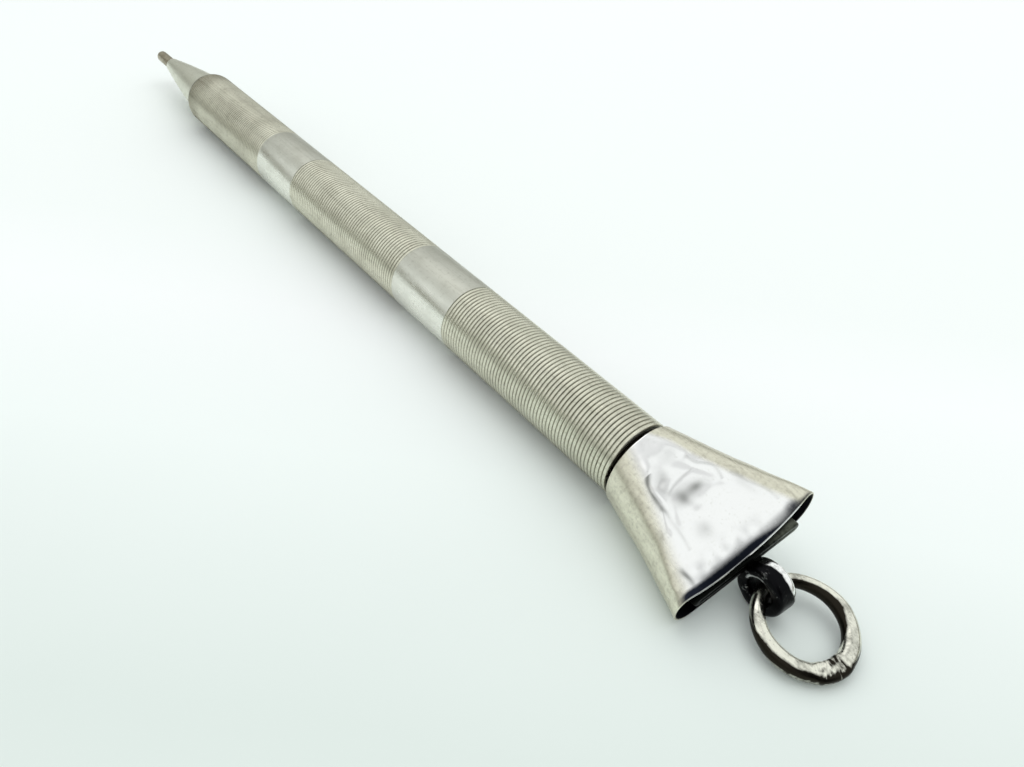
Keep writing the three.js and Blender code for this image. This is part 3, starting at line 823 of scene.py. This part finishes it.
# The shell's colour holds painted shade: dark reflections on the sides by the way they face, shade
# in the dents and along the creases of the faces beside real scratches, a dark reflection along the
# mouth's lip, and shade inside the shell.
finial_silver, nodes, shader = finish("finial_silver")
place = nodes.add("ShaderNodeTexCoord", output="Object")
side = nodes.attribute("side")
inside = nodes.attribute("inside")
lip = nodes.attribute("lip")
grey = nodes.attribute("grey")
brown = nodes.attribute("brown")
cloud = nodes.cloud(place, 420, 4)
speck = nodes.cloud(place, 3200, 3, 0.7)
brushed = nodes.cloud(place, (260, 3400, 3400), 3)
hairs = nodes.hairlines(place, (0.2, 0.1, 0.9), 260, 4600, 0.1)
hairs = hairs + nodes.hairlines(place, (0.9, 0.4, 2.1), 300, 5200, 0.08)
polished = nodes.mixed(speck.rise(0.55, 0.8), (0.98, 0.975, 0.965, 1), (0.87, 0.87, 0.84, 1))
matte = (0.3 * brushed.rise(0.35, 0.7) + 0.5 * speck.rise(0.42, 0.7)).clipped()
matte = nodes.mixed(matte, (0.8, 0.775, 0.64, 1), (0.5, 0.475, 0.385, 1))
colour = nodes.mixed(side, polished, matte)
# Painted dark reflection: the sides turn brown-grey by the way they face.
colour = nodes.mixed((side * brown * (0.7 + 0.6 * cloud)).clipped(), colour, (0.3, 0.27, 0.2, 1))
# Painted shade in the dents and along the creases, with the scratches, darkens the faces.
colour = nodes.mixed((grey * (0.75 + 0.5 * cloud)).clipped(), colour, (0.2, 0.205, 0.19, 1))
# Painted dark reflection along the mouth's lip.
colour = nodes.mixed((lip * (0.85 + 0.4 * speck)).clipped(), colour, (0.018, 0.022, 0.034, 1))
# Painted shade: the shell's inner side is near black.
colour = nodes.mixed(inside, colour, (0.012, 0.013, 0.016, 1))
rough = 0.11 + side * (0.2 + 0.2 * (brushed - 0.5)) + 0.1 * (cloud - 0.45).clipped()
rough = rough + 0.05 * hairs + 0.15 * grey + 0.2 * lip + 0.45 * inside
relief = 0.35 * side * brushed + 0.12 * speck - 0.25 * hairs + 0.1 * cloud
dress(nodes, shader, colour, rough, relief, 0.01 * mm, 0.5)


def marked_with(piece, name, values):
    """Keeps a value for each point of a piece, which its finish reads: rubbing, painted light and
    painted shade.
    """
    layer = piece.data.attributes.new(name, "FLOAT", "POINT")
    layer.data.foreach_set("value", values)


finial_shell = looped_piece("finial_shell_silver", shell_loops, finial_silver, 60)
for name, values in wear_and_shade.items():
    marked_with(finial_shell, name, values)
fitted(finial_shell, "finial", "silver_finial", "finial_shell")

# The closing plate is a flat silver plug with round ends, soldered into the mouth a little askew
# and notched for the eye. It is stained grey-green by what polish was left round it, painted near
# black as the shade inside the mouth, and painted lighter towards one end.
plate_middle = 10.8 * mm
plate_length = 3.3 * mm
plate_half_width = 5.4 * mm
plate_half_thickness = 0.55 * mm
plate_aside = 0.3 * mm
plate_drop = 0.25 * mm
plate_skew = math.radians(-4.5)
plate_bevel = 0.2 * mm
plate_columns = 96


def fitting_silver(name, bright, dull, polish, stain, has_light_and_rub=False):
    """Silver that was never polished again, with dark stains and pits in it. A piece with light and
    rub set has an attribute which says how bright it is painted, by light and rubbing, and is
    painted dark as shade where it is 0."""
    material, nodes, shader = finish(name)
    place = nodes.add("ShaderNodeTexCoord", output="Object")
    cloud = nodes.cloud(place, 700, 4)
    blotch = nodes.cloud(place, 260, 3)
    speck = nodes.cloud(place, 3600, 3, 0.7)
    hairs = nodes.hairlines(place, (0.4, 0.9, 0.3), 420, 4600, 0.14)
    hairs = hairs + nodes.hairlines(place, (1.3, 0.1, 1.7), 380, 5200, 0.14)
    darkening = stain + 0.55 * cloud.rise(0.42, 0.68) + 0.35 * (blotch - 0.5)
    darkening = darkening + 0.25 * speck.rise(0.55, 0.7) - 0.12 * hairs
    # Painted light and shade: where the attribute is 0 the piece is painted dark, and where it is 1
    # it is painted bright.
    if has_light_and_rub:
        darkening = darkening + 1.5 * (1 - nodes.attribute("rub")) * (0.4 + 0.6 * cloud + 0.6 * speck)
    darkening = darkening.clipped()
    colour = nodes.mixed(darkening, bright, dull)
    rough = polish + 0.2 * darkening + 0.1 * (cloud - 0.5) + 0.06 * hairs
    relief = 0.5 * cloud + 0.3 * speck - 0.35 * hairs
    dress(nodes, shader, colour, rough, relief, 0.016 * mm, 0.6)
    return material


# Its colours are painted near black as the shade inside the mouth.
plate_silver = fitting_silver(
    "plate_silver", (0.13, 0.14, 0.11, 1), (0.006, 0.007, 0.006, 1), 0.3, 0.1, has_light_and_rub=True
)
plate_rows = []
plate_lit_end = []
plate_end = plate_length / 2
plate_core = plate_half_thickness - 0.01 * mm
plate_profile = [(-plate_end, plate_core), (-plate_end, 0), (plate_end, 0), (plate_end, plate_core)]
for along, inset in rounded(plate_profile, plate_bevel, 4):
    row = []
    for j in range(plate_columns):
        across, up, direction = oval_point(
            plate_half_width - inset, plate_half_thickness - inset, j / plate_columns
        )
        # Painted light towards one end of the plate, and painted shade towards the other.
        plate_lit_end.append(0.9 * smooth_rise(across, 0, 5.2 * mm) + 0.12)
        across -= plate_aside
        row.append(
            finial_point(
                plate_middle + along * math.cos(plate_skew) - across * math.sin(plate_skew),
                along * math.sin(plate_skew) + across * math.cos(plate_skew),
                up - plate_drop,
            )
        )
    plate_rows.append(row)
end_plate = looped_piece("end_plate_silver", plate_rows, plate_silver)
marked_with(end_plate, "rub", plate_lit_end)

# The eye is a short thick silver tube let into the plate. The ring has worn its edges round. Its
# colour is painted almost black as shade and dark reflections, with a painted highlight crescent
# on its top and a painted highlight spot on its near rim.
ring_joint = joints["ring_swing"]
wire_in_eye = Vector(ring_joint["pos_m"])
hole_axis = Vector(ring_joint["axis"]).normalized()
upright = (Vector((0, 0, 1)) - hole_axis * hole_axis.z).normalized()
forward = hole_axis.cross(upright)
eye_radius = 2.15 * mm
eye_bore = 1.1 * mm
eye_half_length = 0.95 * mm
eye_round = 0.42 * mm
eye_columns = 128
ring_sag = 0.26 * mm
ring_slip = 0.55 * mm
eye_middle = wire_in_eye + upright * ring_sag - hole_axis * ring_slip

notch_gap = 0.25 * mm
notch = placed("notch_cutter", bpy.data.meshes.new("notch_cutter"))
cutter = bmesh.new()
bmesh.ops.create_cone(
    cutter,
    cap_ends=True,
    segments=96,
    radius1=eye_radius + notch_gap,
    radius2=eye_radius + notch_gap,
    depth=2 * (eye_half_length + notch_gap),
)
turn_to_hole = Matrix((forward, upright, hole_axis)).transposed()
bmesh.ops.transform(
    cutter, matrix=Matrix.Translation(eye_middle) @ turn_to_hole.to_4x4(), verts=cutter.verts
)
cutter.to_mesh(notch.data)
cutter.free()
cut = end_plate.modifiers.new("notch", "BOOLEAN")
cut.operation = "DIFFERENCE"
cut.object = notch
settled(end_plate).set_sharp_from_angle(angle=math.radians(35))
bpy.data.objects.remove(notch)
fitted(end_plate, "finial", "silver_fitting", "end_plate")


def divided(outline, longest):
    """A closed outline with points added so that no step in it is much over the longest."""
    points = []
    for i, point in enumerate(outline):
        step = Vector(outline[(i + 1) % len(outline)]) - Vector(point)
        parts = max(1, round(step.length / longest))
        points += [Vector(point) + step * j / parts for j in range(parts)]
    return points


# Painted near black as shade and dark reflections, with painted highlights.
eye_shaded_silver = fitting_silver(
    "eye_shaded_silver", (0.97, 0.97, 0.95, 1), (0.007, 0.007, 0.008, 1), 0.14, -0.35, has_light_and_rub=True
)
eye_outline = [
    (-eye_half_length, eye_radius),
    (eye_half_length, eye_radius),
    (eye_half_length, eye_bore),
    (-eye_half_length, eye_bore),
]


def eye_highlight(angle, along, radius):
    """How bright the eye is painted: a highlight crescent on its top, and a highlight spot on its
    near rim. Along and radius are in millimetres."""
    on_top = smooth_rise(math.cos(angle - math.radians(82)), 0.25, 0.45)
    starts = between(smooth_rise(math.sin(angle), 0.1, 0.95), 0.62, 0.15)
    starts += ripple((3 * math.cos(angle), 3 * math.sin(angle), 5), 1.2, 0.1)
    starts -= 0.35 * smooth_rise(-math.cos(angle), -0.1, 0.6)
    crescent = smooth_rise(along - starts, 0, 0.14) * smooth_rise(radius, 1.7, 1.9)
    at_spot = smooth_rise(math.cos(angle - math.radians(125)), 0.6, 0.9)
    spot = 1 - smooth_rise(abs(radius - 1.25) + abs(along + 0.85), 0.15, 0.35)
    return max(on_top * crescent, at_spot * spot)


eye_rows = []
eye_highlights = []
for along, radius in divided(rounded(eye_outline, eye_round, 6), 0.1 * mm):
    row = []
    for j in range(eye_columns):
        angle = 2 * math.pi * j / eye_columns
        eye_highlights.append(eye_highlight(angle, along / mm, radius / mm))
        dent = ripple((3 * math.cos(angle), 3 * math.sin(angle), along / mm), 0.6, 0.04) * mm
        direction = forward * math.cos(angle) + upright * math.sin(angle)
        row.append(eye_middle + hole_axis * along + direction * (radius + dent))
    eye_rows.append(row)
eye = looped_piece("eye_tube", eye_rows, eye_shaded_silver)
marked_with(eye, "rub", eye_highlights)
fitted(eye, "finial", "silver_fitting", "eye")

# The ring is bent from round silver wire, worn thin where it hangs in the eye, and soldered shut.
# A short pad is hammered flat on it. It lies with its far side on the table and swings in the eye.
wire_radius = 0.58 * mm
ring_radius = 3.5 * mm
ring_slope = math.asin(0.1979)
ring_outward = forward * math.cos(ring_slope) - upright * math.sin(ring_slope)
ring_normal = ring_outward.cross(hole_axis)
ring_middle = wire_in_eye + ring_outward * ring_radius
pad_angle = math.radians(-13)
pad_span = math.radians(56)
pad_half_width = 0.82 * mm
pad_half_thickness = 0.47 * mm
ring_lit_way = Vector((-0.7, 0.72, 0))
ring_far_growth = 0.15 * mm
ring_steps = 192
ring_columns = 32

# The ring's colour has painted light and shade: bright where lit, near black as shade.
ring_silver = fitting_silver(
    "ring_silver", (0.86, 0.85, 0.74, 1), (0.022, 0.019, 0.014, 1), 0.12, 0.0, has_light_and_rub=True
)


def ring_light_and_rub(angle, turn, spoke, flattened):
    """How bright the ring is painted, at an angle round it and a turn round its wire: painted light
    on its upper and outer sides, a painted reflection of the table on the outer edge of its lower
    arc, painted shade on its inner side and underneath, and least of all on its pad."""
    lit_side = 0.6 * math.sin(turn) + math.cos(turn) * (0.3 + 1.3 * spoke.dot(ring_lit_way))
    lit_side += 0.1 * noise.noise(spoke * 4 + Vector((0, 0, turn)))
    floor_reflection = 0.7 * smooth_rise(-lit_side, 0.55, 0.85) * smooth_rise(math.cos(turn), 0, 0.3)
    hammered = 1.1 * noise.noise(Vector((angle * 14, turn * 2.2, 5))) - 0.1
    rub = max(smooth_rise(lit_side, 0, 0.35), floor_reflection)
    return min(1, max(0, rub - flattened * (0.3 + hammered)))


ring_rows = []
ring_light_and_rubs = []
for i in range(ring_steps):
    angle = 2 * math.pi * i / ring_steps
    away = math.acos(math.cos(angle - pad_angle))
    flattened = 1 - smooth_rise(away, pad_span / 4, pad_span / 2)
    growth = ring_far_growth * smooth_rise(math.cos(angle), -0.75, 0.3)
    across_wire = between(flattened, wire_radius + growth, pad_half_width)
    through_wire = between(flattened, wire_radius + 0.4 * growth, pad_half_thickness)
    worn_wire = ripple((math.cos(angle) * 3.5, math.sin(angle) * 3.5, 4.1), 0.5, 0.05) * mm
    spoke = ring_outward * math.cos(angle) + hole_axis * math.sin(angle)
    row = []
    for j in range(ring_columns):
        turn = 2 * math.pi * j / ring_columns
        squareness = 1 + 0.12 * flattened * math.sin(2 * turn) ** 2
        ring_light_and_rubs.append(ring_light_and_rub(angle, turn, spoke, flattened))
        out = (across_wire + worn_wire * 0.5) * math.cos(turn) * squareness
        up = (through_wire + worn_wire * 0.3) * math.sin(turn) * squareness
        point = ring_middle + spoke * (ring_radius + growth + out)
        point += ring_normal * (up + 1.2 * growth)
        point.z = max(point.z, 0)
        row.append(point)
    ring_rows.append(row)
ring = looped_piece("ring_wire", ring_rows, ring_silver)
marked_with(ring, "rub", ring_light_and_rubs)
fitted(ring, "ring", "silver_fitting", "suspension_ring")

# The pencil lies on a sheet of smooth white card, a little cool, with painted shade that is
# greyest a few centimetres from it on the camera's side.
card_finish, nodes, shader = finish("pale_card", 0)
place = nodes.add("ShaderNodeTexCoord", output="Object")
camera_side = (0.72, -0.69, 0)
card_fade = 0.4
near = nodes.add(
    "ShaderNodeVectorMath", {"operation": "DOT_PRODUCT"}, {0: place, 1: camera_side}, output="Value"
)
near = (near + 0.006 * nodes.cloud(place, 30, 2)) / card_fade
card_colour_and_shade = nodes.add(
    "ShaderNodeValToRGB",
    {
        "stops": [
            (0.0, (0.92, 0.97, 0.95, 1)),
            (0.04, (0.95, 0.985, 0.98, 1)),
            (0.09, (0.9, 0.965, 0.94, 1)),
            (0.15, (0.76, 0.84, 0.8, 1)),
            (1.0, (0.92, 0.97, 0.95, 1)),
        ]
    },
    {"Fac": near},
)
nodes.tree.links.new(card_colour_and_shade.socket, shader.inputs["Base Color"])
shader.inputs["Roughness"].default_value = 0.9
shader.inputs["Specular IOR Level"].default_value = 0.1


def staged(name, corners, faces, material):
    """A sheet that the pencil is shown with, which is no part of it."""
    mesh = bpy.data.meshes.new(name)
    mesh.from_pydata(corners, [], faces)
    mesh.materials.append(material)
    sheet = placed(name, mesh)
    return sheet


def staged_square(name, half, material):
    """A staged sheet that is square."""
    corners = [(-half, -half, 0), (half, -half, 0), (half, half, 0), (-half, half, 0)]
    return staged(name, corners, [(0, 1, 2, 3)], material)


floor_half = 4
staged_square("card_floor", floor_half, card_finish)

# The light is a pale room with one soft panel high behind the pencil. The room's dim lower wall,
# a bright sheet overhead and a dark one beside the camera show only in the metal.
room = bpy.data.worlds.new("pale_room")
bpy.context.scene.world = room
room.use_nodes = True
room_nodes = Nodes(room.node_tree)
path = room.node_tree.nodes.new("ShaderNodeLightPath")
camera_ray = Wire(room_nodes, path.outputs["Is Camera Ray"])
glossy_ray = Wire(room_nodes, path.outputs["Is Glossy Ray"])
clear_ray = Wire(room_nodes, path.outputs["Is Transmission Ray"])
seen = (camera_ray + glossy_ray + clear_ray).clipped()
room_colour = room_nodes.mixed(seen, (0.77, 0.78, 0.78, 1), (0.93, 0.96, 0.955, 1))
background = room.node_tree.nodes["Background"]
room.node_tree.links.new(room_colour.socket, background.inputs["Color"])

panel_data = bpy.data.lights.new("soft_panel", "AREA")
panel_data.shape = "RECTANGLE"
panel_data.size = 1.0
panel_data.size_y = 1.0
panel_data.energy = 2.6
panel = placed("soft_panel", panel_data)
panel.location = Vector((-0.25, 0.25, 0.7))
panel.rotation_euler = (axis_end - panel.location).to_track_quat("-Z", "Y").to_euler()
panel.visible_glossy = False


def glow(name, measure, near, far, colour, beyond):
    """A finish that gives off one colour up to near and another from far, by a measure of place."""
    glow_finish, nodes, shader = finish(name, 0)
    place = nodes.add("ShaderNodeTexCoord", output="Object")
    away = nodes.add("ShaderNodeVectorMath", {"operation": "MULTIPLY"}, {0: place, 1: measure})
    away = nodes.add("ShaderNodeVectorMath", {"operation": "LENGTH"}, {0: away}, output="Value")
    shade = nodes.mixed(away.rise(near, far), colour, beyond)
    shader.inputs["Base Color"].default_value = (0, 0, 0, 1)
    shader.inputs["Specular IOR Level"].default_value = 0
    shader.inputs["Emission Strength"].default_value = 1
    nodes.tree.links.new(shade.socket, shader.inputs["Emission Color"])
    return glow_finish


def only_mirrored(sheet):
    """Hides a staged sheet from all but shiny things."""
    sheet.visible_camera = False
    sheet.visible_diffuse = False
    sheet.visible_shadow = False


def facing_sheet(name, direction, distance, half, colour, beyond):
    """A square sheet with a soft round middle, turned towards the pencil."""
    material = glow(name, (1, 1, 1), 0.4 * half, 0.95 * half, colour, beyond)
    sheet = staged_square(name, half, material)
    sheet.location = axis_end + Vector(direction).normalized() * distance
    sheet.rotation_euler = (axis_end - sheet.location).to_track_quat("Z", "Y").to_euler()
    only_mirrored(sheet)


pale = (0.93, 0.96, 0.955, 1)
dark = (0.012, 0.015, 0.022, 1)
bright = (1.3, 1.32, 1.32, 1)
dim = (0.72, 0.74, 0.74, 1)
facing_sheet("photographer", (0.93, -0.1, 0.42), 0.25, 0.17, dark, pale)
facing_sheet("ceiling_light", (-0.56, 0.06, 0.83), 0.6, 0.32, bright, dim)
wall_radius = 0.9
wall_foot = 0.002
wall_height = 0.4
wall_steps = 48
wall_corners = []
wall_faces = []
for i in range(wall_steps):
    angle = 2 * math.pi * i / wall_steps
    spot = (wall_radius * math.cos(angle), wall_radius * math.sin(angle))
    wall_corners += [(*spot, wall_foot), (*spot, wall_height)]
    k = (i + 1) % wall_steps
    wall_faces.append((2 * i, 2 * i + 1, 2 * k + 1, 2 * k))
dim_wall = glow("dim_wall", (0, 0, 1), 0.1, wall_height, (0.27, 0.27, 0.23, 1), pale)
only_mirrored(staged("low_wall", wall_corners, wall_faces, dim_wall))
